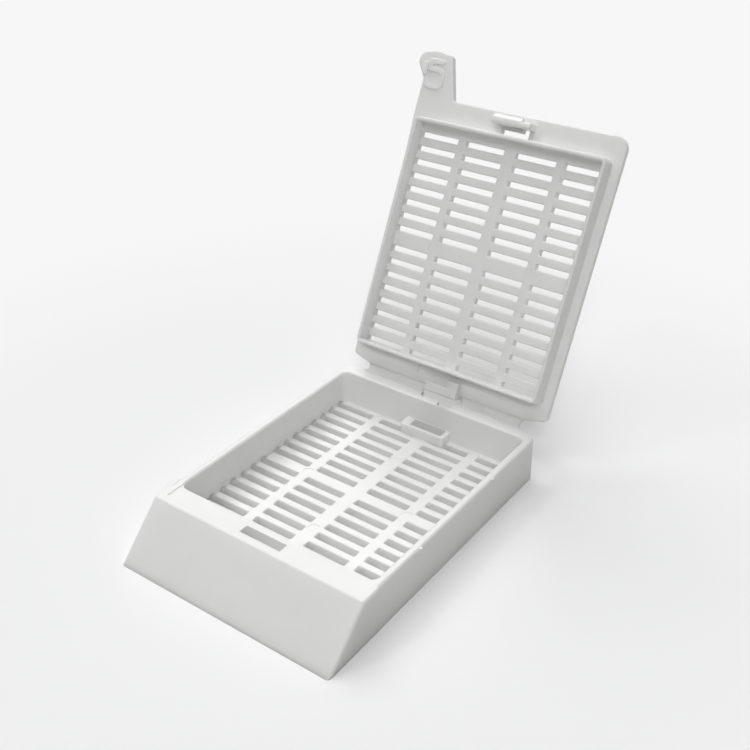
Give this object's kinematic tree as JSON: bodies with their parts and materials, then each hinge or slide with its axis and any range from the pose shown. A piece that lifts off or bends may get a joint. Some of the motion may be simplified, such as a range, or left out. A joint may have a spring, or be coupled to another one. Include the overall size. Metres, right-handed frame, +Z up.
{
  "type": "tissue cassette",
  "caption": "Slotted histology tissue tray with a sloping writing face and a slotted snap lid that swings on a living hinge.",
  "frame": {"origin": "middle of the tray's flat underside", "axes": "+Y from the writing face towards the hinge, +Z up through the tray, +X across it"},
  "size_m": [0.0303, 0.0604, 0.0425],
  "materials": {
    "white_acetal": "satin, slightly translucent white acetal"
  },
  "bodies": {
    "tray": {"cassette_base": "white_acetal", "hinge_web_left": "white_acetal", "hinge_web_right": "white_acetal"},
    "lid": {"cassette_lid": "white_acetal"}
  },
  "joints": [
    {"name": "lid_hinge", "type": "hinge", "parent": "tray", "child": "lid", "pos_m": [0, 0.02121, 0.00571], "axis": [1, 0, 0], "range_deg": [-64, 115.9], "deforming": ["hinge_web_left", "hinge_web_right"]}
  ]
}
